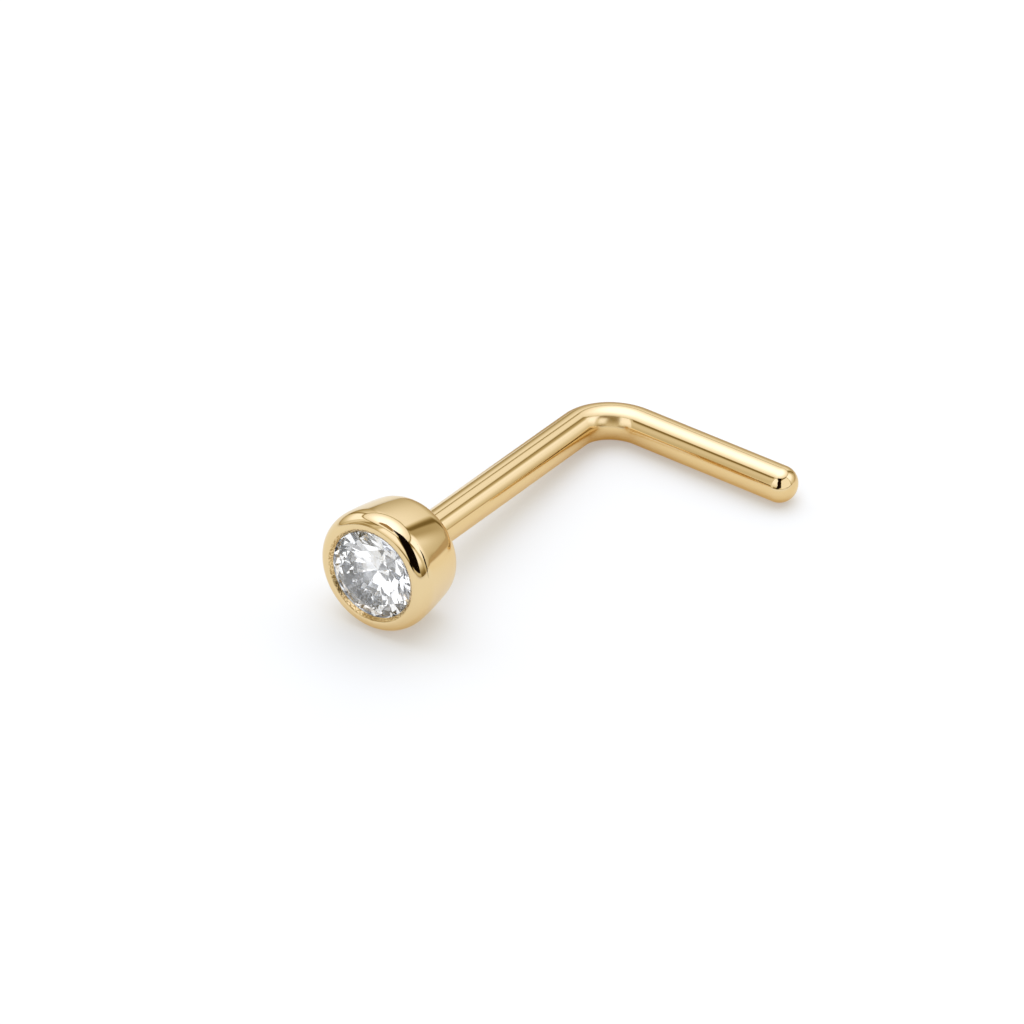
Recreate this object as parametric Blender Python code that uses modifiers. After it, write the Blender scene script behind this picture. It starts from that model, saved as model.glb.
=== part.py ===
"""An L-shaped nose stud, lying on a table as it comes to rest by itself.

A round brilliant-cut stone sits in a gold cup. The cup is soldered to one end of a round gold wire,
which runs straight back as the post and then bends at a right angle into a short leg with a round tip.

Lengths are in metres. The stud is modelled in its own axes: the origin is where the axes of the post
and the leg cross, +X runs along the post to the head, and +Y runs along the leg. An empty then lays it
down: the leg lies on the table, the cup's edge touches it too, and the post climbs a little to the head.
"""

import math

import bmesh
import bpy
import numpy as np
from mathutils import Vector

# Wire
WIRE_DIAMETER = 0.0008
POST_LENGTH = 0.00698  # from the back of the cup to the leg's axis
LEG_LENGTH = 0.00487  # from the post's axis to the end of the tip
BEND_RADIUS = 0.0010  # to the middle of the wire
TIP_ROUNDING = 0.00038  # length of the rounded end
POST_ROOT = 0.00015  # how far the wire is let into the cup's floor

# Stone
STONE_DIAMETER = 0.00215
TABLE_DIAMETER = 0.00129  # from corner to corner of the eight-sided table
GIRDLE_THICKNESS = 0.00005
CROWN_ANGLE = math.radians(31.0)
PAVILION_ANGLE = math.radians(40.8)
STAR_REACH = 0.5  # share of the way from the table's edge to the girdle
LOWER_HALF_REACH = 0.77  # share of the way from the girdle to the culet
STONE_CLEARANCE = 0.00002  # between the stone and the metal round it

# Cup
CUP_WALL = 0.000225  # beside the girdle
CUP_TAPER = 0.00012  # how much smaller the radius is at the back than at the rim
CUP_FLOOR = 0.000265  # under the culet
RIM_HEIGHT = 0.000175  # from the top of the girdle to the crest of the rim
RIM_ROUNDING = 0.00042  # length of the soft outer rounding, along the cup's axis
LIP_COVER = 0.00004  # how far the lip reaches in over the girdle
LIP_ROUND_WIDTH = 0.00005
LIP_ROUND_DEPTH = 0.000035
BACK_ROUNDING = 0.00014

# Fineness of the solids
CUP_STEPS = 48
WIRE_BEVEL_RESOLUTION = 8
BEND_STEPS = 14
TIP_STEPS = 6
ROUNDING_STEPS = 7
GIRDLE_STEPS = 3  # short sides of the girdle beside each of its sixteen facets
MERGE_DISTANCE = 1e-7

# Colours and finish
GOLD_COLOUR = (0.83, 0.62, 0.33, 1.0)
GOLD_ROUGHNESS = 0.08
STONE_COLOUR = (0.95, 0.96, 0.98, 1.0)
STONE_ROUGHNESS = 0.0
STONE_IOR = 2.417

# Worked out from the sizes above
WIRE_RADIUS = WIRE_DIAMETER / 2
STONE_RADIUS = STONE_DIAMETER / 2
TABLE_RADIUS = TABLE_DIAMETER / 2
HALF_STEP = math.pi / 8  # between a main facet and the next star facet
CROWN_HEIGHT = (STONE_RADIUS - TABLE_RADIUS) * math.tan(CROWN_ANGLE)
PAVILION_DEPTH = STONE_RADIUS * math.tan(PAVILION_ANGLE)
CULET_PLACE = CUP_FLOOR + STONE_CLEARANCE / math.cos(PAVILION_ANGLE)
GIRDLE_BOTTOM = CULET_PLACE + PAVILION_DEPTH
GIRDLE_TOP = GIRDLE_BOTTOM + GIRDLE_THICKNESS
CUP_DEPTH = GIRDLE_TOP + RIM_HEIGHT
CUP_RADIUS = STONE_RADIUS + STONE_CLEARANCE + CUP_WALL
CUP_BACK_RADIUS = CUP_RADIUS - CUP_TAPER
LIP_RADIUS = STONE_RADIUS - LIP_COVER
CREST_RADIUS = LIP_RADIUS + LIP_ROUND_WIDTH


def clear_scene():
    """Removes whatever the scene starts with."""
    for obj in list(bpy.data.objects):
        bpy.data.objects.remove(obj, do_unlink=True)


def collection_named(name):
    """Makes a collection and puts it in the scene."""
    made = bpy.data.collections.new(name)
    bpy.context.scene.collection.children.link(made)
    return made


def quarter(centre, reach, start, steps=ROUNDING_STEPS):
    """Points (radius, height) on a quarter of an ellipse, from the angle start to a right angle less."""
    turned = [start - math.pi / 2 * i / steps for i in range(steps + 1)]
    return [(centre[0] + reach[0] * math.cos(a), centre[1] + reach[1] * math.sin(a)) for a in turned]


def seat_profile():
    """Half section of the cup's inside as (radius, height), from the middle of its floor up to the lip."""
    bore = STONE_RADIUS + STONE_CLEARANCE
    seat_top = CUP_FLOOR + bore * math.tan(PAVILION_ANGLE)
    cover_bottom = GIRDLE_TOP + STONE_CLEARANCE
    cover_top = cover_bottom + (bore - LIP_RADIUS) * math.tan(CROWN_ANGLE)
    return [(0.0, CUP_FLOOR), (bore, seat_top), (bore, cover_bottom), (LIP_RADIUS, cover_top)]


def outer_profile():
    """Half section of the cup's outside as (radius, height), from the lip over the rim to the back."""
    lip = quarter((CREST_RADIUS, CUP_DEPTH - LIP_ROUND_DEPTH), (LIP_ROUND_WIDTH, LIP_ROUND_DEPTH), math.pi)
    rim_reach = (CUP_RADIUS - CREST_RADIUS, RIM_ROUNDING)
    rim = quarter((CREST_RADIUS, CUP_DEPTH - RIM_ROUNDING), rim_reach, math.pi / 2)
    edge_centre = (CUP_BACK_RADIUS - BACK_ROUNDING, BACK_ROUNDING)
    edge = quarter(edge_centre, (BACK_ROUNDING, BACK_ROUNDING), 0.0)
    return lip + rim[1:] + edge


def rest_tilt():
    """The angle by which the post climbs when the leg and the cup both touch the table.

    A point of the cup's section at distance a along the post and radius r from it touches the table
    when a sin(t) - r cos(t) = -wire radius. The first point to touch needs the largest t.
    """
    radius, height = np.array(outer_profile()).T
    along = POST_LENGTH + height
    touching = np.arctan2(radius, along) - np.arcsin(WIRE_RADIUS / np.hypot(along, radius))
    return float(touching.max())


def resting_empty():
    """An empty that lays the stud down, with the middle of its footprint at the origin."""
    tilt = rest_tilt()
    radius, height = np.array(outer_profile()).T
    reach = (POST_LENGTH + height) * math.cos(tilt) + radius * math.sin(tilt)
    rest = bpy.data.objects.new("rest", None)
    rest.rotation_euler = (0.0, -tilt, 0.0)
    rest.location = (
        (WIRE_RADIUS - float(reach.max())) / 2,
        (float(radius.max()) - LEG_LENGTH) / 2,
        WIRE_RADIUS,
    )
    return rest


def material(name, colour, roughness, metallic=0.0, transmission=0.0, ior=1.5):
    """A Principled material with one colour and finish."""
    made = bpy.data.materials.new(name)
    made.use_nodes = True
    shader = made.node_tree.nodes["Principled BSDF"]
    shader.inputs["Base Color"].default_value = colour
    shader.inputs["Roughness"].default_value = roughness
    shader.inputs["Metallic"].default_value = metallic
    shader.inputs["Transmission Weight"].default_value = transmission
    shader.inputs["IOR"].default_value = ior
    return made


def evaluated_mesh(obj, name):
    """The mesh that an object shows once its modifiers or its bevel are worked out."""
    graph = bpy.context.evaluated_depsgraph_get()
    graph.update()
    mesh = bpy.data.meshes.new_from_object(obj.evaluated_get(graph))
    mesh.name = name
    return mesh


def cup_helper(helpers):
    """The cup: its half section turned about the local Z axis, which is then laid along the post."""
    section = seat_profile() + outer_profile() + [(0.0, 0.0)]
    points = [(radius, 0.0, height) for radius, height in section]
    edges = [(i, i + 1) for i in range(len(points) - 1)]
    mesh = bpy.data.meshes.new("cup")
    mesh.from_pydata(points, edges, [])
    cup = bpy.data.objects.new("cup", mesh)
    helpers.objects.link(cup)
    cup.location = (POST_LENGTH, 0.0, 0.0)
    cup.rotation_euler = (0.0, math.pi / 2, 0.0)
    turn = cup.modifiers.new("turn", "SCREW")
    turn.axis = "Z"
    turn.angle = 2 * math.pi
    turn.steps = CUP_STEPS
    turn.render_steps = CUP_STEPS
    turn.use_merge_vertices = True
    turn.merge_threshold = MERGE_DISTANCE
    return cup


def wire_path():
    """Points (x, y, thickness share) down the middle of the wire, from inside the cup to the tip."""
    path = [(POST_LENGTH + POST_ROOT, 0.0, 1.0)]
    for i in range(BEND_STEPS + 1):
        turned = math.pi / 2 * i / BEND_STEPS
        x = BEND_RADIUS * (1 - math.sin(turned))
        y = BEND_RADIUS * (1 - math.cos(turned))
        path.append((x, y, 1.0))
    for i in range(TIP_STEPS + 1):
        turned = math.pi / 2 * i / TIP_STEPS
        path.append((0.0, LEG_LENGTH - TIP_ROUNDING * (1 - math.sin(turned)), math.cos(turned)))
    return path


def wire_helper(helpers):
    """The bent wire: a curve with a round bevel, made a closed mesh so that it can be joined."""
    path = wire_path()
    curve = bpy.data.curves.new("wire_path", "CURVE")
    curve.dimensions = "3D"
    curve.twist_mode = "Z_UP"
    curve.bevel_depth = WIRE_RADIUS
    curve.bevel_resolution = WIRE_BEVEL_RESOLUTION
    curve.use_fill_caps = True
    spline = curve.splines.new("POLY")
    spline.points.add(len(path) - 1)
    for point, (x, y, share) in zip(spline.points, path):
        point.co = (x, y, 0.0, 1.0)
        point.radius = share
    bent = bpy.data.objects.new("wire_path", curve)
    helpers.objects.link(bent)
    mesh = evaluated_mesh(bent, "wire")
    work = bmesh.new()
    work.from_mesh(mesh)
    bmesh.ops.remove_doubles(work, verts=work.verts, dist=MERGE_DISTANCE)
    bmesh.ops.recalc_face_normals(work, faces=work.faces)
    work.to_mesh(mesh)
    work.free()
    wire = bpy.data.objects.new("wire", mesh)
    wire.matrix_world = bent.matrix_world
    helpers.objects.link(wire)
    bpy.data.objects.remove(bent, do_unlink=True)
    return wire


def make_setting_and_post(parts, helpers, rest):
    """The cup and the wire soldered into one gold body."""
    cup = cup_helper(helpers)
    wire = wire_helper(helpers)
    solder = cup.modifiers.new("solder", "BOOLEAN")
    solder.operation = "UNION"
    solder.solver = "EXACT"
    solder.object = wire
    mesh = evaluated_mesh(cup, "setting_and_post")
    mesh.transform(cup.matrix_world)
    mesh.shade_smooth()
    mesh.set_sharp_from_angle(angle=math.radians(35.0))
    mesh.materials.clear()
    mesh.materials.append(material("polished_gold", GOLD_COLOUR, GOLD_ROUGHNESS, metallic=1.0))
    joined = bpy.data.objects.new("setting_and_post", mesh)
    joined.parent = rest
    parts.objects.link(joined)
    for helper in (cup, wire):
        helper.parent = rest
        helper.hide_render = True
        helper.display_type = "WIRE"
    return joined


def facet_height(corners, x, y):
    """Height above (x, y) of the flat facet through three corners."""
    first, second, third = (Vector(corner) for corner in corners)
    normal = (second - first).cross(third - first)
    return first.z - (normal.x * (x - first.x) + normal.y * (y - first.y)) / normal.z


def around(radius, turned, height):
    """The point at a radius, an angle and a height about the stone's axis."""
    return (radius * math.cos(turned), radius * math.sin(turned), height)


def stone_corners():
    """Every corner of the brilliant, with its culet at height 0.

    Eight main facets above and below slope at the crown and pavilion angles. A star facet runs in from
    each side of the table, and two half facets run to the girdle beside each main one. The girdle is
    round, so its upper and lower edges dip where a half facet meets it.
    """
    girdle_bottom = PAVILION_DEPTH
    girdle_top = girdle_bottom + GIRDLE_THICKNESS
    table_side = TABLE_RADIUS * math.cos(HALF_STEP)
    star_radius = table_side + STAR_REACH * (STONE_RADIUS - table_side)
    star_drop = (STONE_RADIUS - star_radius * math.cos(HALF_STEP)) * math.tan(CROWN_ANGLE)
    half_radius = (1 - LOWER_HALF_REACH) * STONE_RADIUS
    half_drop = (STONE_RADIUS - half_radius * math.cos(HALF_STEP)) * math.tan(PAVILION_ANGLE)
    upper_facet = (
        around(star_radius, HALF_STEP, girdle_top + star_drop),
        around(STONE_RADIUS, 0.0, girdle_top),
        around(STONE_RADIUS, HALF_STEP, girdle_top),
    )
    lower_facet = (
        around(half_radius, HALF_STEP, girdle_bottom - half_drop),
        around(STONE_RADIUS, 0.0, girdle_bottom),
        around(STONE_RADIUS, HALF_STEP, girdle_bottom),
    )
    corners = [(0.0, 0.0, 0.0)]
    for i in range(8):
        main = 2 * i * HALF_STEP
        star = main + HALF_STEP
        corners.append(around(TABLE_RADIUS, main, girdle_top + CROWN_HEIGHT))
        corners.append(around(star_radius, star, girdle_top + star_drop))
        corners.append(around(half_radius, star, girdle_bottom - half_drop))
    for i in range(16 * GIRDLE_STEPS):
        turned = i * HALF_STEP / GIRDLE_STEPS
        folded = abs((turned + HALF_STEP) % (2 * HALF_STEP) - HALF_STEP)
        x, y, _ = around(STONE_RADIUS, folded, 0.0)
        corners.append(around(STONE_RADIUS, turned, facet_height(upper_facet, x, y)))
        corners.append(around(STONE_RADIUS, turned, facet_height(lower_facet, x, y)))
    return corners


def make_stone(parts, rest):
    """The round brilliant: the convex hull of its corners, in flat facets."""
    work = bmesh.new()
    for corner in stone_corners():
        work.verts.new(corner)
    hull = bmesh.ops.convex_hull(work, input=work.verts)
    bmesh.ops.delete(work, geom=hull["geom_interior"], context="VERTS")
    bmesh.ops.recalc_face_normals(work, faces=work.faces)
    mesh = bpy.data.meshes.new("stone")
    work.to_mesh(mesh)
    work.free()
    mesh.materials.append(
        material("cut_stone", STONE_COLOUR, STONE_ROUGHNESS, transmission=1.0, ior=STONE_IOR)
    )
    stone = bpy.data.objects.new("stone", mesh)
    stone.location = (POST_LENGTH + CULET_PLACE, 0.0, 0.0)
    stone.rotation_euler = (0.0, math.pi / 2, 0.0)
    stone.parent = rest
    parts.objects.link(stone)
    return stone


def main():
    clear_scene()
    parts = collection_named("nose_stud")
    helpers = collection_named("cutters")
    helpers.hide_render = True
    rest = resting_empty()
    parts.objects.link(rest)
    make_setting_and_post(parts, helpers, rest)
    make_stone(parts, rest)


if __name__ == "__main__":
    main()
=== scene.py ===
import math

import bpy
import numpy as np
from bpy.props import FloatProperty, FloatVectorProperty, PointerProperty
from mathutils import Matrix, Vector


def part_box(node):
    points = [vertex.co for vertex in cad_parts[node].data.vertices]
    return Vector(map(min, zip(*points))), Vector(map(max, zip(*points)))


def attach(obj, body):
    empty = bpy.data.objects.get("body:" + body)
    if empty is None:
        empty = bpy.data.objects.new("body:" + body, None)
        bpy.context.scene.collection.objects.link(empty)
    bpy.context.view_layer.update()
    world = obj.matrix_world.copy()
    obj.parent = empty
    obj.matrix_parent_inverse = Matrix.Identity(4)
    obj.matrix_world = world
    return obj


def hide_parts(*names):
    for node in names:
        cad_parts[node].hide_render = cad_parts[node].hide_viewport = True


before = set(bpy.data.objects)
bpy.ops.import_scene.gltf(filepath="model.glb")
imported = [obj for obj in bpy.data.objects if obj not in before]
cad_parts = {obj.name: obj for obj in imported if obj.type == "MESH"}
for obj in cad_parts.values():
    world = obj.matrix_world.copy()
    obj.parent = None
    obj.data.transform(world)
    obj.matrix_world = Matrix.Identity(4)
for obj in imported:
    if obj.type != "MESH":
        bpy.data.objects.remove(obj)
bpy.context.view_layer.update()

bl_info = {
    "name": "Nose Stud",
    "version": (1, 0, 0),
    "blender": (4, 5, 0),
    "location": "3D View > Sidebar > Nose Stud",
    "description": "Finishes and lights an L-shaped gold nose stud with a round cut stone",
    "category": "Add Mesh",
}

MM = 0.001
# Steps of the gold's surface: round every ring, along each straight run of the cup's section, on its
# roundings, and along the bend, the leg and the tip
ROUND_STEPS = 176
RUN_STEPS = 10
INSIDE_STEPS, LIP_STEPS, RIM_STEPS, BACK_STEPS, SOLDER_STEPS = 6, 12, 36, 24, 12
BEND_STEPS, LEG_STEPS, TIP_STEPS = 48, 40, 32


# Properties

def length(name, description, millimetres):
    """A length property, given here in millimetres and kept in metres."""
    return FloatProperty(
        name=name, description=description, default=millimetres * MM, min=0.0, precision=6,
        subtype="DISTANCE", unit="LENGTH",
    )


def angle(name, description, degrees):
    """An angle property, given here in degrees and kept in radians."""
    return FloatProperty(
        name=name, description=description, default=math.radians(degrees), subtype="ANGLE",
        unit="ROTATION",
    )


def share(name, description, value, most=1.0):
    """A number property from 0 to its most."""
    return FloatProperty(
        name=name, description=description, default=value, min=0.0, max=most, precision=4
    )


def colour(name, description, value):
    """A colour property in scene-linear red, green and blue."""
    return FloatVectorProperty(
        name=name, description=description, default=value, size=3, min=0.0, max=1.0, subtype="COLOR"
    )


class WireSizes(bpy.types.PropertyGroup):
    """The bent wire that is the post and the leg."""

    diameter: length("Wire", "Thickness of the round wire", 0.8)
    post_length: length("Post", "From the back of the cup to the leg's axis", 6.98)
    leg_length: length("Leg", "From the post's axis to the end of the tip", 4.87)
    bend_radius: length("Bend", "Radius of the bend, to the middle of the wire", 1.0)
    tip_rounding: length("Tip", "Length of the rounded end", 0.38)
    solder_fillet: length("Solder", "Reach of the solder where the post meets the cup", 0.07)


class CupSizes(bpy.types.PropertyGroup):
    """The cup that holds the stone."""

    wall: length("Wall", "Thickness beside the girdle", 0.225)
    taper: length("Taper", "How much smaller the radius is at the back than at the rim", 0.12)
    floor: length("Floor", "Thickness under the culet", 0.265)
    rim_height: length("Rim height", "From the top of the girdle to the crest of the rim", 0.175)
    rim_rounding: length("Rim rounding", "Length of the soft outer rounding", 0.4)
    side_bow: length("Side bow", "How far the side swells between its roundings", 0.0105)
    lip_cover: length("Lip cover", "How far the lip's top reaches in over the girdle", 0.04)
    lip_foot: length("Lip foot", "How much further in the lip's lower edge presses", 0.085)
    lip_round_width: length("Lip width", "Width of the lip's inner rounding", 0.05)
    lip_round_depth: length("Lip depth", "Depth of the lip's inner rounding", 0.035)
    back_rounding: length("Back rounding", "Rounding of the back edge, across the back", 0.085)
    back_run: length("Back run", "How far up the side that rounding begins", 0.24)
    side_end: length("Side end", "Height over the back where the taper is at its deepest", 0.14)


class StoneSizes(bpy.types.PropertyGroup):
    """The round brilliant, as far as the cup follows it."""

    diameter: length("Stone", "Diameter of the girdle", 2.15)
    girdle: length("Girdle", "Thickness of the girdle", 0.05)
    crown_angle: angle("Crown", "Slope of the main facets above the girdle", 31.0)
    pavilion_angle: angle("Pavilion", "Slope of the main facets below the girdle", 40.8)
    clearance: length("Clearance", "Gap between the stone and the metal", 0.02)


class Finishes(bpy.types.PropertyGroup):
    """Colours and polish."""

    gold: colour("Gold", "Polished yellow gold", (0.84, 0.65, 0.365))
    # Darker gold: painted shade for the specks in the cuts by the stone, and a faint random tone
    # elsewhere
    cut_shade_and_tone_gold: colour("Deep gold", "Gold in the setting tool's cuts by the stone", (0.42, 0.25, 0.07))
    bowl: colour("Bowl", "Bright plating under the stone, which keeps it white", (0.85, 0.86, 0.88))
    gold_roughness: share("Gold roughness", "Roughness of the polished gold", 0.045)
    bend_roughness: share("Bend roughness", "Added inside the bend, which polishing misses", 0.2)
    polish_marks: share("Polish marks", "Strength of the fine marks that polishing leaves", 0.12)
    stone: colour("Stone", "Body colour of the stone", (1.0, 1.0, 1.0))
    stone_cloud: colour("Stone cloud", "Its colour where it grew cloudy", (0.965, 0.98, 1.0))
    girdle_roughness: share("Girdle roughness", "Roughness of the ground girdle", 0.35)
    stone_ior: share("Stone IOR", "Index of refraction of the stone", 2.417, most=4.0)
    table: colour("Table", "The white table that the stud lies on", (0.55, 0.55, 0.525))
    table_glow: colour("Table glow", "Glow that softens the table's shadows", (0.31, 0.311, 0.312))
    # The table as the gold sees it is a painted copy: a warm glow of painted bounce light from the
    # gold, and painted shade far off, beside the wire and behind it
    painted_table_in_gold: colour("Table in gold", "The table as the gold shows it", (0.444, 0.567, 0.657))
    painted_bounce_glow_in_gold: colour("Table glow in gold", "Its glow as the gold shows it", (0.38, 0.22, 0.04))
    painted_far_shade: colour("Table far", "Share of it that the gold shows far off", (0.74, 0.72, 0.7))
    painted_wire_side_shade: colour("Table by wire", "Share that the wire shows beside it", (0.99, 0.94, 0.84))
    painted_wire_back_shade: colour("Table behind", "Share that the wire shows behind it", (0.56, 0.44, 0.28))


class StudioSettings(bpy.types.PropertyGroup):
    """Camera and light."""

    focal_length: share("Lens", "Focal length in millimetres on a 36 mm sensor", 180.0, most=500.0)
    distance: length("Distance", "From the camera to its target", 108.955)
    target: FloatVectorProperty(
        name="Target", description="Point at the middle of the picture",
        default=(-0.0018775, -0.0025904, -0.0013052), size=3, subtype="XYZ", unit="LENGTH",
        precision=6,
    )
    azimuth: angle("Azimuth", "Heading from the stud to the camera, from +X towards +Y", 34.738)
    elevation: angle("Elevation", "Height of the camera over the table", 37.694)
    light_heading: angle("Light heading", "Heading of the light from the camera's side", 185.0)
    light_height: angle("Light height", "Height of the table's light", 62.0)
    light_size: length("Light size", "Width of the table's light", 600.0)
    light_power: share("Light power", "Power of the table's light in watts", 0.6, most=10.0)
    world: share("Room light", "Brightness of the white room all round", 1.0, most=10.0)


# Surfaces

def soft_corner(before, corner, after, steps):
    """Points on a quarter of an ellipse that leaves one side at before and meets the next at after.

    A rational curve: (1-t)^2 before + 2 w t (1-t) corner + t^2 after, over the sum of its weights,
    with w the square root of a half, which makes it a part of an ellipse.
    """
    t = np.linspace(0.0, 1.0, steps)[:, None]
    weights = (1 - t) ** 2, math.sqrt(2.0) * t * (1 - t), t ** 2
    return (weights[0] * before + weights[1] * corner + weights[2] * after) / sum(weights)


def rounded_line(corners):
    """A line of points through rounded corners: radius, height, reach before and after, steps, bow.

    The run up to a corner has points at even steps. It is straight, or swells sideways by the parabola
    4 bow t (1-t). A rounding starts and ends along the runs beside it: its middle corner is where the
    two runs' directions cross.
    """
    table = np.array(corners, float)
    place, reach, steps, bow = table[:, :2], table[:, 2:4], table[:, 4].astype(int), table[1:, 5]
    ahead = np.diff(place, axis=0)
    ahead /= np.linalg.norm(ahead, axis=1)[:, None]
    starts = place[:-1] + ahead * reach[:-1, 1:]
    ends = place[1:] - ahead * reach[1:, :1]
    lengths = np.linalg.norm(ends - starts, axis=1)
    aside = np.stack([-ahead[:, 1], ahead[:, 0]], axis=1)
    lean = aside * (4 * bow / np.maximum(lengths, bow + 1e-9))[:, None]
    t = np.linspace(0.0, 1.0, RUN_STEPS + 1)[1:, None]
    points = [place[:1]]
    for i, run in enumerate(ends - starts):
        if lengths[i] > 1e-9:
            points.append(starts[i] + run * t + aside[i] * (4 * bow[i]) * t * (1 - t))
        if steps[i + 1]:
            crossing = np.stack([(ahead - lean)[i], (ahead + lean)[i + 1]], axis=1)
            along = np.linalg.solve(crossing, starts[i + 1] - ends[i])[0]
            corner = ends[i] + (ahead - lean)[i] * along
            points.append(soft_corner(ends[i], corner, starts[i + 1], steps[i + 1])[1:])
    return np.concatenate(points)


def girdle_height(cup, stone):
    """Height of the girdle's top edge over the cup's back, with the culet clear of the cup's floor."""
    culet = cup.floor + stone.clearance / math.cos(stone.pavilion_angle)
    return culet + stone.diameter / 2 * math.tan(stone.pavilion_angle) + stone.girdle


def cup_section(wire, cup, stone):
    """Half section (radius, height over the back): cup floor, seat, lip, rim, side, back and post."""
    stone_radius = stone.diameter / 2
    bore = stone_radius + stone.clearance
    girdle_top = girdle_height(cup, stone)
    depth = girdle_top + cup.rim_height
    radius = bore + cup.wall
    lip = stone_radius - cup.lip_cover
    foot = lip - cup.lip_foot
    crest = lip + cup.lip_round_width
    lean = cup.taper / (depth - cup.rim_rounding - cup.side_end)
    rim_corner = radius + lean * cup.rim_rounding
    back_corner = radius - cup.taper - lean * cup.side_end
    seat_top = cup.floor + bore * math.tan(stone.pavilion_angle)
    cover = girdle_top + stone.clearance
    foot_height = cover + (bore - foot) * math.tan(stone.crown_angle)
    wire_radius = wire.diameter / 2
    small = stone.clearance / 2
    return rounded_line(
        [
            (0.0, cup.floor, 0.0, 0.0, 0, 0.0),
            (bore, seat_top, small, small, INSIDE_STEPS, 0.0),
            (bore, cover, small, small, INSIDE_STEPS, 0.0),
            (foot, foot_height, small, small, INSIDE_STEPS, 0.0),
            (lip, depth, cup.lip_round_depth, cup.lip_round_width, LIP_STEPS, 0.0),
            (rim_corner, depth, rim_corner - crest, cup.rim_rounding, RIM_STEPS, 0.0),
            (back_corner, 0.0, cup.back_run, cup.back_rounding, BACK_STEPS, cup.side_bow),
            (wire_radius, 0.0, wire.solder_fillet, wire.solder_fillet, SOLDER_STEPS, 0.0),
            (wire_radius, wire.bend_radius - wire.post_length, 0.0, 0.0, 0, 0.0),
        ]
    )


def resting_turn(wire, section):
    """(turn matrix, shift) that lay the stud down: leg and cup both touch the table.

    A point of the section at distance a along the post and radius r from it touches when
    a sin(t) - r cos(t) = -wire radius, and the first point to touch needs the largest t.
    """
    wire_radius = wire.diameter / 2
    head = section[section[:, 0] > wire.diameter]
    along, radius = wire.post_length + head[:, 1], head[:, 0]
    tilt = (np.arctan2(radius, along) - np.arcsin(wire_radius / np.hypot(along, radius))).max()
    cos, sin = math.cos(tilt), math.sin(tilt)
    reach = (along * cos + radius * sin).max()
    turn = np.array([[cos, 0.0, -sin], [0.0, 1.0, 0.0], [sin, 0.0, cos]])
    shift = np.array([(wire_radius - reach) / 2, (radius.max() - wire.leg_length) / 2, wire_radius])
    return turn, shift


def gold_rings(wire, cup, stone):
    """Every ring of the gold body as (centre x, centre y, radius, heading), in the stud's own axes.

    The rings follow the cup's section and the post at heading 0, then turn a quarter of a circle round
    the bend, run along the leg and shrink as a quarter of an ellipse over the tip.
    """
    section = cup_section(wire, cup, stone)
    wire_radius = wire.diameter / 2
    straight = np.stack(
        [wire.post_length + section[:, 1], 0 * section[:, 0], section[:, 0], 0 * section[:, 0]],
        axis=1,
    )
    turned = np.linspace(0.0, math.pi / 2, BEND_STEPS + 1)[1:]
    bend = np.stack(
        [
            wire.bend_radius * (1 - np.sin(turned)),
            wire.bend_radius * (1 - np.cos(turned)),
            np.full(turned.shape, wire_radius),
            turned,
        ],
        axis=1,
    )
    along = np.linspace(wire.bend_radius, wire.leg_length - wire.tip_rounding, LEG_STEPS + 1)[1:]
    level = np.full(along.shape, math.pi / 2)
    leg = np.stack([0 * along, along, np.full(along.shape, wire_radius), level], axis=1)
    round_off = np.linspace(0.0, math.pi / 2, TIP_STEPS + 1)[1:]
    end = wire.leg_length - wire.tip_rounding * (1 - np.sin(round_off))
    tip = np.stack(
        [0 * end, end, wire_radius * np.cos(round_off), np.full(end.shape, math.pi / 2)], axis=1
    )
    return section, np.concatenate([straight, bend, leg, tip])


def ring_points(rings, steps):
    """The grid of points (ring, step, xyz): centre + radius (cos u across + sin u up).

    Across is level and square to the ring's heading, and points to the inside of the bend.
    """
    x, y, radius, heading = rings.T
    turned = np.linspace(0.0, 2 * math.pi, steps, endpoint=False)
    across = np.stack([np.sin(heading), np.cos(heading), 0 * heading], axis=1)[:, None, :]
    up = np.array([0.0, 0.0, 1.0])
    centre = np.stack([x, y, 0 * x], axis=1)[:, None, :]
    ring = np.cos(turned)[None, :, None] * across + np.sin(turned)[None, :, None] * up
    return centre + radius[:, None, None] * ring


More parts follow.
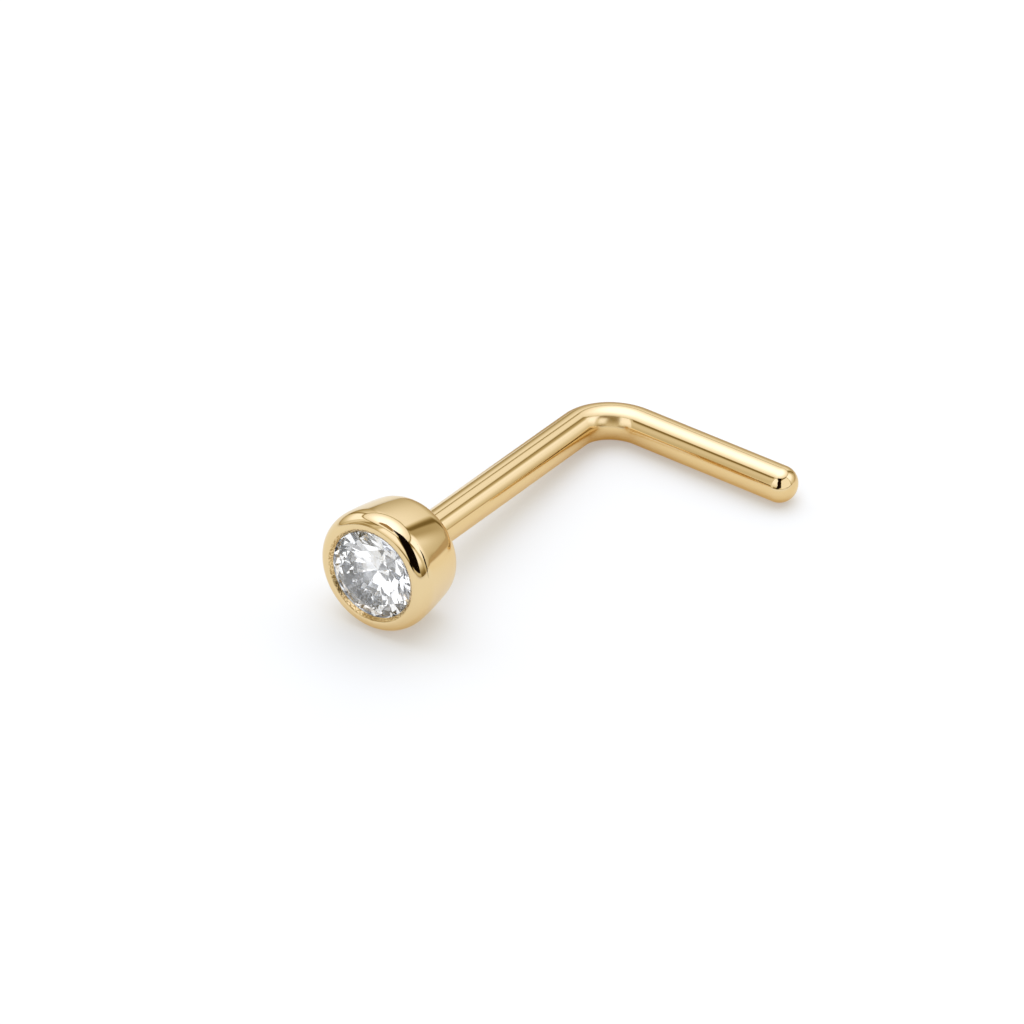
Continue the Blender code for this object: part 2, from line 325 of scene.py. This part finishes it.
def skin(name, grid):
    """A closed mesh over a grid whose first and last rings have shrunk to a point.

    Each pole is one vertex with a fan of triangles, and the rest are quads. The UV map has the share
    of the way round as u and the distance along the middle of the piece, in millimetres, as v.
    """
    rings, steps = grid.shape[0] - 2, grid.shape[1]
    points = np.concatenate([grid[:1, 0], grid[1:-1].reshape(-1, 3), grid[-1:, 0]])
    index = 1 + np.arange(rings * steps).reshape(rings, steps)
    ahead = np.roll(index, -1, axis=1)
    quads = np.stack([index[:-1], index[1:], ahead[1:], ahead[:-1]], axis=-1).reshape(-1, 4)
    first = np.stack([np.zeros(steps, int), index[0], ahead[0]], axis=1)
    last = np.stack([np.full(steps, len(points) - 1), ahead[-1], index[-1]], axis=1)
    loops = np.concatenate([quads.ravel(), first.ravel(), last.ravel()])
    sizes = np.concatenate([np.full(len(quads), 4), np.full(2 * steps, 3)])
    mesh = bpy.data.meshes.new(name)
    mesh.vertices.add(len(points))
    mesh.vertices.foreach_set("co", points.astype(np.float32).ravel())
    mesh.loops.add(len(loops))
    mesh.loops.foreach_set("vertex_index", loops.astype(np.int32))
    mesh.polygons.add(len(sizes))
    mesh.polygons.foreach_set("loop_start", (np.cumsum(sizes) - sizes).astype(np.int32))
    mesh.polygons.foreach_set("loop_total", sizes.astype(np.int32))
    u = np.arange(steps + 1) / steps
    hops = np.linalg.norm(np.diff(grid.mean(axis=1), axis=0), axis=1)
    v = np.concatenate([[0.0], np.cumsum(hops)]) / MM
    place = np.stack(np.meshgrid(v[1:-1], u, indexing="ij")[::-1], axis=-1)
    quad_uv = np.stack([place[:-1, :-1], place[1:, :-1], place[1:, 1:], place[:-1, 1:]], axis=2)
    middle = (u[:-1] + u[1:]) / 2
    start, end = (np.stack([middle, np.full(steps, reach)], axis=1) for reach in (v[0], v[-1]))
    first_uv = np.stack([start, place[0, :-1], place[0, 1:]], axis=1)
    last_uv = np.stack([end, place[-1, 1:], place[-1, :-1]], axis=1)
    uv = np.concatenate([quad_uv.reshape(-1, 2), first_uv.reshape(-1, 2), last_uv.reshape(-1, 2)])
    mesh.uv_layers.new(name="along").data.foreach_set("uv", uv.astype(np.float32).ravel())
    mesh.update(calc_edges=True)
    mesh.validate()
    mesh.shade_smooth()
    return mesh


def show(mesh):
    """A new object for a mesh, in the scene."""
    made = bpy.data.objects.new(mesh.name, mesh)
    bpy.context.scene.collection.objects.link(made)
    return made


# Shading

class Value:
    """A number socket that takes part in Python arithmetic: each operator adds a Math node."""

    def __init__(self, shading, socket):
        self.shading = shading
        self.socket = socket

    def _maths(self, operation, first, second):
        node = self.shading.node("ShaderNodeMath", {"operation": operation}, {0: first, 1: second})
        return Value(self.shading, node.outputs[0])

    def __add__(self, other):
        return self._maths("ADD", self, other)

    __radd__ = __add__

    def __sub__(self, other):
        return self._maths("SUBTRACT", self, other)

    def __rsub__(self, other):
        return self._maths("SUBTRACT", other, self)

    def __mul__(self, other):
        return self._maths("MULTIPLY", self, other)

    __rmul__ = __mul__

    def __pow__(self, other):
        return self._maths("POWER", self, other)

    def __abs__(self):
        return self._maths("ABSOLUTE", self, 0.0)


class Shading:
    """The nodes of one material, or of the room round the stud."""

    def __init__(self, block):
        self.block = block
        self.block.use_nodes = True
        self.tree = self.block.node_tree
        self.tree.nodes.clear()

    def node(self, kind, settings=None, sockets=None):
        """Adds a node: its settings first, then the value or the link of each socket."""
        made = self.tree.nodes.new(kind)
        for name, value in (settings or {}).items():
            setattr(made, name, value)
        for name, value in (sockets or {}).items():
            socket = made.inputs[name]
            source = value.socket if isinstance(value, Value) else value
            if isinstance(source, bpy.types.NodeSocket):
                self.tree.links.new(source, socket)
            else:
                socket.default_value = source
        return made

    def value(self, node, output=0):
        """A node's output as a number for arithmetic."""
        return Value(self, node.outputs[output])

    def noise(self, vector, scale, detail=2.0):
        """A noise from 0 to 1."""
        node = self.node(
            "ShaderNodeTexNoise", {}, {"Vector": vector, "Scale": scale, "Detail": detail}
        )
        return self.value(node, "Fac")

    def part(self, vector, axis):
        """How far a vector reaches along an axis."""
        node = self.node("ShaderNodeVectorMath", {"operation": "DOT_PRODUCT"}, {0: vector, 1: axis})
        return self.value(node, "Value")

    def mark(self, name):
        """One of the shares that a mesh keeps for its vertices."""
        return self.value(self.node("ShaderNodeAttribute", {"attribute_name": name}), "Fac")

    def ramp(self, value, start, end):
        """A smooth step of a number, 0 at start and 1 at end, which may be the smaller one."""
        sockets = {"Value": value, "From Min": min(start, end), "From Max": max(start, end)}
        if start > end:
            sockets.update({"To Min": 1.0, "To Max": 0.0})
        node = self.node("ShaderNodeMapRange", {"interpolation_type": "SMOOTHSTEP"}, sockets)
        return self.value(node)

    def blend(self, amount, first, second):
        """A colour between two, by an amount from 0 to 1."""
        node = self.node("ShaderNodeMix", {"data_type": "RGBA"}, {0: amount, 6: first, 7: second})
        return node.outputs[2]

    def surface(self, shader):
        """Sends a shader's output to the surface."""
        kind = "World" if isinstance(self.block, bpy.types.World) else "Material"
        self.node("ShaderNodeOutput" + kind, {}, {"Surface": shader.outputs[0]})
        return self.block


def opaque(tint):
    """A colour property's value with full opacity."""
    return (*tint, 1.0)


# Patterns: how many cells the hairlines have round the wire and to a millimetre along it, and then the
# cells that each noise has to a metre
HAIRLINES = (260.0, 0.9, 1.0)
CLOUD, GRAIN, CUTS = 1400.0, 26000.0, 34000.0
GROWTH, GRINDING = 1100.0, 70000.0
# Where the noise of the cuts turns from gold to the darker gold that paints shade into them
CUT_EDGE = (0.46, 0.56)
# Depths of the bumps: of the polish marks, of the cuts as a multiple of them, and of the ground girdle
MARK_DEPTH, CUT_DEPTH, GRINDING_DEPTH = 0.0006 * MM, 160.0, 0.004 * MM


def polished_gold(finish):
    """High polish with faint hairlines along the wire, cut bright by the lip with specks of painted
    shade in darker gold there, pale under the stone.
    """
    shading = Shading(bpy.data.materials.new("polished_gold"))
    coordinates = shading.node("ShaderNodeTexCoord").outputs
    along, spot = coordinates["UV"], coordinates["Object"]
    stretched = shading.node("ShaderNodeMapping", {}, {"Vector": along, "Scale": HAIRLINES})
    hairlines = shading.noise(stretched.outputs[0], 1.0, detail=3.0)
    cloud = shading.noise(spot, CLOUD, detail=3.0)
    grain = shading.noise(spot, GRAIN)
    cuts = shading.noise(spot, CUTS, detail=1.0)
    wall, bowl, inside = (shading.mark(name) for name in ("lip_wall", "bowl", "bend_inside"))
    # Specks of painted shade in darker gold on the lip's inner wall, with a faint random tone from the
    # cloud all over
    cut_shade_and_cloud = 0.9 * wall * shading.ramp(cuts, *CUT_EDGE) + 0.02 * cloud
    tint = shading.blend(cut_shade_and_cloud, opaque(finish.gold), opaque(finish.cut_shade_and_tone_gold))
    tint = shading.blend(bowl, tint, opaque(finish.bowl))
    roughness = finish.gold_roughness + 0.02 * cloud + 0.2 * bowl + finish.bend_roughness * inside
    marks = 0.7 * hairlines + 0.3 * grain + CUT_DEPTH * wall * cuts
    bump = shading.node(
        "ShaderNodeBump", {},
        {"Strength": finish.polish_marks, "Distance": MARK_DEPTH, "Height": marks},
    )
    shader = shading.node(
        "ShaderNodeBsdfPrincipled", {},
        {
            "Base Color": tint, "Metallic": 1.0, "Roughness": roughness, "Normal": bump.outputs[0],
        },
    )
    return shading.surface(shader)


def clear_stone(finish, axis, girdle_low, girdle_high):
    """A clear stone with polished facets, faint cloudy growth, and a finely ground girdle.

    The girdle is the band where the way along the stone's axis lies between its two heights.
    """
    shading = Shading(bpy.data.materials.new("cut_stone"))
    spot = shading.node("ShaderNodeTexCoord").outputs["Object"]
    off = abs(shading.part(spot, axis) - (girdle_low + girdle_high) / 2)
    half = (girdle_high - girdle_low) / 2
    ground = shading.ramp(off, half + 0.003 * MM, half)
    growth = shading.noise(spot, GROWTH, detail=4.0)
    tint = shading.blend(0.6 * growth, opaque(finish.stone), opaque(finish.stone_cloud))
    scratches = ground * shading.noise(spot, GRINDING)
    bump = shading.node(
        "ShaderNodeBump", {}, {"Strength": 0.3, "Distance": GRINDING_DEPTH, "Height": scratches}
    )
    shader = shading.node(
        "ShaderNodeBsdfPrincipled", {},
        {
            "Base Color": tint,
            "Roughness": ground * finish.girdle_roughness, "IOR": finish.stone_ior,
            "Transmission Weight": 1.0, "Normal": bump.outputs[0],
        },
    )
    return shading.surface(shader)


# Where the painted shade of the table in the gold changes, in millimetres: from its middle outwards,
# from left to right at the wire, and from front to back, beside the wire and then behind it
FAR_SHADE_ZONE = (15.0, 90.0)
WIRE_SHADE_RIGHT = (-3.0, -1.6)
WIRE_SHADE_FRONT = (-2.5, 0.5)
WIRE_SHADE_BACK = (2.0, 5.5)


def table_white(finish, behind, right):
    """A matt white table; the gold sees a copy of it with painted light and shade: a warm glow of
    painted bounce light near by, painted shade far off and amber painted shade by the wire.
    """
    shading = Shading(bpy.data.materials.new("white_table"))
    spot = shading.node("ShaderNodeTexCoord").outputs["Object"]

    def past(place, edges):
        return shading.ramp(place, edges[0] * MM, edges[1] * MM)

    # Masks of the painted shade that the gold sees on the table
    away = shading.node("ShaderNodeVectorMath", {"operation": "LENGTH"}, {0: spot})
    away = past(shading.value(away, "Value"), FAR_SHADE_ZONE)
    beside = past(shading.part(spot, right), WIRE_SHADE_RIGHT)
    front = past(shading.part(spot, behind), WIRE_SHADE_FRONT) * beside
    back = past(shading.part(spot, behind), WIRE_SHADE_BACK) * beside
    white = opaque((1.0, 1.0, 1.0))
    painted_reflection_shade = shading.blend(away, white, opaque(finish.painted_far_shade))
    painted_reflection_shade = shading.blend(front, painted_reflection_shade, opaque(finish.painted_wire_side_shade))
    painted_reflection_shade = shading.blend(back, painted_reflection_shade, opaque(finish.painted_wire_back_shade))
    # Only glossy rays see the painted shade; other rays see the plain table
    in_metal = shading.node("ShaderNodeLightPath").outputs["Is Glossy Ray"]
    painted_reflection_shade = shading.blend(in_metal, white, painted_reflection_shade)

    # Glossy rays get the painted copy of the table: painted bounce glow and painted shade
    def with_painted_reflection(plain, gold):
        mixed = shading.blend(in_metal, opaque(plain), opaque(gold))
        made = shading.node("ShaderNodeVectorMath", {"operation": "MULTIPLY"}, {0: mixed, 1: painted_reflection_shade})
        return made.outputs[0]

    shader = shading.node(
        "ShaderNodeBsdfPrincipled", {},
        {
            "Base Color": with_painted_reflection(finish.table, finish.painted_table_in_gold), "Roughness": 1.0,
            "Specular IOR Level": 0.0, "Emission Strength": 1.0,
            "Emission Color": with_painted_reflection(finish.table_glow, finish.painted_bounce_glow_in_gold),
        },
    )
    return shading.surface(shader)


def near_card(name, tint, reach):
    """A card that glows in its own colour, unlit, and shows only in what is nearer to it than its
    reach, with a soft edge there.
    """
    shading = Shading(bpy.data.materials.new(name))
    gone = shading.value(shading.node("ShaderNodeLightPath"), "Ray Length")
    card = shading.node("ShaderNodeEmission", {}, {"Color": opaque(tint)})
    clear = shading.node("ShaderNodeBsdfTransparent")
    far = shading.ramp(gone, reach * 0.99, reach * 1.01)
    shader = shading.node(
        "ShaderNodeMixShader", {}, {0: far, 1: card.outputs[0], 2: clear.outputs[0]}
    )
    return shading.surface(shader)


# Operators

class STUD_OT_setting_and_post(bpy.types.Operator):
    """Make the cup, the post and the leg as one soldered gold body"""

    bl_idname = "stud.setting_and_post"
    bl_label = "Gold setting and post"

    def execute(self, context):
        scene = context.scene
        section, rings = gold_rings(scene.stud_wire, scene.stud_cup, scene.stud_stone)
        turn, shift = resting_turn(scene.stud_wire, section)
        grid = ring_points(rings, ROUND_STEPS) @ turn.T + shift
        mesh = skin("gold_setting_and_post", grid)
        self.mark_inside(mesh, section, scene.stud_stone.diameter / 2 - scene.stud_cup.lip_cover)
        self.mark_bend(mesh, rings)
        mesh.materials.append(polished_gold(scene.stud_finish))
        body = show(mesh)
        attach(body, "root")
        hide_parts("setting_and_post")
        return {"FINISHED"}

    @staticmethod
    def mark_inside(mesh, section, lip):
        """Stores which rings belong to the lip's inner wall, and which to the bowl under the stone."""
        crest = int(section[:, 1].argmax())
        index, radius = np.arange(crest), section[:crest, 0]
        bore = int(radius.argmax())
        foot = bore + int(radius[bore:].argmin())
        bowl = index < foot
        wall = ~bowl & (radius < lip + 0.002 * MM)
        for name, rings in (("lip_wall", wall), ("bowl", bowl)):
            values = np.zeros(len(mesh.vertices), np.float32)
            values[0] = rings[0]
            values[1:1 + (crest - 1) * ROUND_STEPS] = np.repeat(rings[1:], ROUND_STEPS)
            mesh.attributes.new(name, "FLOAT", "POINT").data.foreach_set("value", values)

    @staticmethod
    def mark_bend(mesh, rings):
        """Stores how far each vertex is inside the bend.

        It is sin(2 heading) ^ 0.5 along the bend, times cos(way round) ^ 0.7 where that faces inwards.
        """
        turned = np.linspace(0.0, 2 * math.pi, ROUND_STEPS, endpoint=False)
        values = np.zeros(len(mesh.vertices), np.float32)
        along = np.sin(2 * rings[1:-1, 3]).clip(0, 1) ** 0.5
        values[1:-1] = np.outer(along, np.cos(turned).clip(0, 1) ** 0.7).ravel()
        mesh.attributes.new("bend_inside", "FLOAT", "POINT").data.foreach_set("value", values)


class STUD_OT_stone(bpy.types.Operator):
    """Finish the round brilliant with a clear, strongly bending material and a ground girdle"""

    bl_idname = "stud.stone"
    bl_label = "Cut stone"

    def execute(self, context):
        scene = context.scene
        wire, cup, sizes = scene.stud_wire, scene.stud_cup, scene.stud_stone
        turn, shift = resting_turn(wire, cup_section(wire, cup, sizes))
        axis = turn[:, 0]
        top = float(axis @ shift) + wire.post_length + girdle_height(cup, sizes)
        material = clear_stone(scene.stud_finish, tuple(axis), top - sizes.girdle, top)
        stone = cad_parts["stone"]
        stone.data.materials.clear()
        stone.data.materials.append(material)
        return {"FINISHED"}


# The room's soft white panels, by where they are seen from the stud, in degrees: heading from the
# camera's side towards its right, half width, bottom, top and soft edge; then the brightness at the
# bottom, the brightness higher up, and the height where that is reached
PANELS = {
    "front_left": (-35.5, 25.5, 0.0, 90.0, 5.0, 0.8, 1.24, 38.0),
    "front_foot": (-25.0, 18.0, -3.0, 10.0, 3.0, 0.2, 0.3, 10.0),
    "front_middle": (14.5, 24.5, 0.0, 70.0, 6.0, 0.8, 0.3, 44.0),
    "front_right": (54.5, 16.5, 7.0, 46.0, 6.0, 0.5, 1.2, 24.0),
    "right_edge": (76.0, 5.5, 0.0, 40.0, 3.0, 0.5, 0.75, 16.0),
    "right_far": (123.5, 11.0, 0.0, 60.0, 1.5, 0.62, 0.5, 20.0),
    "right_fall": (105.5, 18.0, 0.0, 60.0, 5.5, 0.7, 1.2, 32.0),
    "right": (95.0, 15.0, 0.0, 60.0, 3.5, 0.72, 1.34, 32.0),
    "over_gap": (139.0, 13.0, 36.5, 60.0, 2.0, 0.9, 0.9, 50.0),
    "back": (171.6, 29.9, -5.0, 60.0, 4.0, 0.54, 1.12, 36.0),
    "back_end": (194.0, 10.0, -2.0, 60.0, 2.0, 0.4, 1.0, 38.0),
    "left": (-128.0, 23.0, 0.0, 70.0, 5.0, 0.6, 1.26, 25.0),
    "left_end": (-96.0, 9.0, 0.0, 60.0, 4.0, 0.72, 0.9, 20.0),
    "tan": (-73.0, 12.0, 0.0, 62.0, 4.0, 0.6, 0.8, 28.0),
    "brown_low": (-71.5, 6.5, 0.0, 20.0, 3.0, 0.46, 0.38, 20.0),
    "brown_high": (-80.5, 8.5, 26.0, 60.0, 4.0, 0.4, 0.42, 60.0),
    "dark_high": (-84.0, 13.0, 46.5, 64.0, 2.0, 0.24, 0.24, 60.0),
}
GAPS = 0.2  # brightness of the gaps between the panels
# The big round softbox overhead, in degrees: heading and height of its middle, the radius where it
# ends and the radius where the panels begin; how far its soft edge reaches inwards and outwards; how
# far past its end it is at its dimmest, and the radius where it is at its brightest
OVERHEAD = (180.0, 72.5, 42.0, 45.5)
OVERHEAD_EDGE = (2.0, 1.0)
OVERHEAD_FALL = (2.0, 12.0)
OVERHEAD_BRIGHTNESS = (1.0, 1.6)  # at its dimmest and at its brightest
# Bright light is cooler and dim light warmer: each colour is the brightness to one of these powers
WARMTH = (1.0, 1.2, 1.8)
# The stone shows the room in plain light and dark: the brightness that counts as dark and as light,
# what it shows for each, and the tint of that in red, green and blue
STONE_CONTRAST = (0.35, 0.85)
STONE_LIGHT = (0.22, 1.5)
STONE_TINT = (1.0, 1.005, 1.02)
TABLE_RADIUS = 0.6  # metres
LIGHT_DISTANCE = 0.3  # metres from the stud to the table's light

# Small cards that show in the gold beside them: the piece that a card belongs to, the colour it glows
# with, how near a surface has to be to show it and how far off the card stands, both in millimetres,
# and its corners as heading and height in degrees
CARDS = {
    "black_card": ("rim", (0.004, 0.002, 0.001), 16.1, 15.5, (
        (-29.0, -1.0), (-13.0, -1.0), (-10.0, 8.0), (37.0, 7.0), (41.0, 16.0), (48.0, 28.0),
        (54.0, 38.0), (60.0, 46.0), (69.0, 55.0), (78.0, 66.0), (60.0, 86.0), (8.0, 84.0),
        (14.0, 70.0), (3.0, 60.0), (-3.0, 48.0), (-6.0, 34.0), (-12.0, 22.0), (-14.0, 12.0),
    )),
    "brown_card": ("rim", (0.4, 0.29, 0.16), 15.9, 15.0, (
        (20.0, 86.0), (60.0, 84.0), (-150.0, 80.0), (-122.0, 72.0), (-100.0, 66.0),
        (-84.0, 68.0), (-68.0, 72.0), (-30.0, 74.0), (-4.0, 77.0),
    )),
    "tip_card": ("tip", (0.01, 0.004, 0.001), 7.2, 6.3, (
        (-22.0, 3.0), (-8.0, 3.0), (8.0, 12.0), (9.0, 50.0), (28.0, 64.0),
        (-6.0, 67.0), (-34.0, 60.0), (-17.0, 50.0), (-15.0, 28.0),
    )),
    "tip_white": ("tip", (1.08, 1.1, 1.12), 7.7, 6.8, (
        (10.0, 3.0), (70.0, 3.0), (76.0, 50.0), (12.0, 50.0),
    )),
}


class STUD_OT_stage(bpy.types.Operator):
    """Make the table, the soft studio light and the camera"""

    bl_idname = "stud.stage"
    bl_label = "White table, light and camera"

    def execute(self, context):
        scene = context.scene
        self.add_table(scene)
        self.add_room(scene)
        self.add_table_light(scene.stud_studio)
        self.add_cards(scene)
        self.add_camera(scene)
        scene.view_settings.view_transform = "Standard"
        scene.cycles.max_bounces = 24
        scene.cycles.glossy_bounces = 16
        scene.cycles.transmission_bounces = 24
        return {"FINISHED"}

    def add_table(self, scene):
        """A round white table top."""
        bpy.ops.mesh.primitive_circle_add(vertices=96, radius=TABLE_RADIUS, fill_type="NGON")
        table = bpy.context.object
        table.name = "white_table"
        studio = scene.stud_studio
        behind, right = (self.direction(studio, heading, 0.0) for heading in (180.0, 90.0))
        table.data.materials.append(table_white(scene.stud_finish, behind, right))

    @staticmethod
    def direction(studio, heading, height):
        """The unit vector at a heading from the camera's side and a height, both in degrees."""
        turned, risen = studio.azimuth + math.radians(heading), math.radians(height)
        level = math.cos(risen)
        return Vector((level * math.cos(turned), level * math.sin(turned), math.sin(risen)))

    def add_cards(self, scene):
        """The small cards, which show in reflections alone."""
        low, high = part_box("stone")
        corner_low, corner_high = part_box("setting_and_post")
        wire = scene.stud_wire
        radius = wire.diameter / 2
        tip = Vector((corner_low.x + radius, corner_high.y - wire.tip_rounding, radius))
        places = {"rim": (low + high) / 2, "tip": tip}
        for name, (place, tint, reach, distance, corners) in CARDS.items():
            ways = (self.direction(scene.stud_studio, *corner) for corner in corners)
            points = [places[place] + way * (distance * MM) for way in ways]
            mesh = bpy.data.meshes.new(name)
            mesh.from_pydata(points, [], [range(len(points))])
            mesh.materials.append(near_card(name, tint, reach * MM))
            card = show(mesh)
            card.visible_camera = False
            card.visible_transmission = False
            card.visible_diffuse = False
            card.visible_shadow = False

    def add_table_light(self, studio):
        """A wide softbox behind the stud that whitens the table and gives the soft shadows."""
        light = bpy.data.lights.new("table_light", "AREA")
        light.shape = "DISK"
        light.size = studio.light_size
        light.energy = studio.light_power
        lamp = bpy.data.objects.new("table_light", light)
        heading, height = math.degrees(studio.light_heading), math.degrees(studio.light_height)
        way = self.direction(studio, heading, height)
        lamp.location = way * LIGHT_DISTANCE
        lamp.rotation_euler = way.to_track_quat("Z", "Y").to_euler()
        lamp.visible_glossy = False
        lamp.visible_transmission = False
        bpy.context.scene.collection.objects.link(lamp)

    def add_room(self, scene):
        """A room of soft white panels and a round softbox overhead, plain white to the camera."""
        studio = scene.stud_studio
        room = Shading(bpy.data.worlds.new("white_room"))
        way = room.node("ShaderNodeTexCoord").outputs["Object"]

        def turned(operation, *values):
            made = room.node("ShaderNodeMath", {"operation": operation}, dict(enumerate(values)))
            return room.value(made) * (180.0 / math.pi)

        ahead = room.part(way, self.direction(studio, 0.0, 0.0))
        right = room.part(way, self.direction(studio, 90.0, 0.0))
        heading = turned("ARCTAN2", right, ahead)
        height = turned("ARCSINE", room.part(way, (0.0, 0.0, 1.0)))
        middle_heading, middle_height, end, panels_begin = OVERHEAD
        aim = self.direction(studio, middle_heading, middle_height)
        off = turned("ARCCOSINE", room.part(way, aim))
        outside = room.ramp(off, end, panels_begin)
        light = GAPS
        for middle, half, bottom, top, edge, low, high, full in PANELS.values():
            wrapped = room.node(
                "ShaderNodeMath", {"operation": "WRAP"}, {0: heading - middle, 1: -180.0, 2: 180.0}
            )
            mask = room.ramp(abs(room.value(wrapped)), half + edge, half - edge) * outside
            mask = mask * room.ramp(height, bottom - edge, bottom + edge)
            mask = mask * room.ramp(height, top + edge, top - edge)
            light = light + mask * (room.ramp(height, bottom, full) * (high - low) + low - light)
        edge, middle = OVERHEAD_BRIGHTNESS
        inwards, outwards = OVERHEAD_EDGE
        dimmest, brightest = OVERHEAD_FALL
        overhead = room.ramp(off, end + outwards, end - inwards)
        risen = room.ramp(off, end + dimmest, brightest) * (middle - edge) + edge
        light = light + overhead * (risen - light)
        dark, bright = STONE_LIGHT
        crisp = room.ramp(light, *STONE_CONTRAST) * (bright - dark) + dark

        def mixed(values):
            return room.node("ShaderNodeCombineXYZ", {}, dict(enumerate(values))).outputs[0]

        path = room.node("ShaderNodeLightPath").outputs
        warm = mixed(light ** power for power in WARMTH)
        plain = mixed(crisp * tint for tint in STONE_TINT)
        light = room.blend(path["Is Transmission Ray"], warm, plain)
        light = room.blend(path["Is Camera Ray"], light, opaque((1.0, 1.0, 1.0)))
        scene.world = room.surface(
            room.node("ShaderNodeBackground", {}, {"Color": light, "Strength": studio.world})
        )

    def add_camera(self, scene):
        """The camera on a long lens, level with the horizon."""
        studio = scene.stud_studio
        lens = bpy.data.cameras.new("camera")
        lens.sensor_width = 36.0
        lens.lens = studio.focal_length
        lens.clip_start = 0.001
        lens.clip_end = 10.0
        camera = bpy.data.objects.new("camera", lens)
        away = self.direction(studio, 0.0, math.degrees(studio.elevation))
        camera.location = Vector(studio.target) + away * studio.distance
        camera.rotation_euler = away.to_track_quat("Z", "Y").to_euler()
        scene.collection.objects.link(camera)
        scene.camera = camera


class STUD_PT_panel(bpy.types.Panel):
    """Lists the steps that finish the stud"""

    bl_label = "Nose Stud"
    bl_idname = "STUD_PT_panel"
    bl_space_type = "VIEW_3D"
    bl_region_type = "UI"
    bl_category = "Nose Stud"

    def draw(self, context):
        for group in ("stud_wire", "stud_cup", "stud_stone", "stud_finish", "stud_studio"):
            box = self.layout.box()
            settings = getattr(context.scene, group)
            for name in settings.__annotations__:
                box.prop(settings, name)
        for step in STEPS:
            self.layout.operator(step.bl_idname)


STEPS = (STUD_OT_setting_and_post, STUD_OT_stone, STUD_OT_stage)
GROUPS = {
    "stud_wire": WireSizes,
    "stud_cup": CupSizes,
    "stud_stone": StoneSizes,
    "stud_finish": Finishes,
    "stud_studio": StudioSettings,
}


def register():
    for made in (*GROUPS.values(), *STEPS, STUD_PT_panel):
        bpy.utils.register_class(made)
    for name, group in GROUPS.items():
        setattr(bpy.types.Scene, name, PointerProperty(type=group))


def unregister():
    for name in GROUPS:
        delattr(bpy.types.Scene, name)
    for made in reversed((*GROUPS.values(), *STEPS, STUD_PT_panel)):
        bpy.utils.unregister_class(made)


def main():
    register()
    bpy.ops.stud.setting_and_post()
    bpy.ops.stud.stone()
    bpy.ops.stud.stage()


if __name__ == "__main__":
    main()
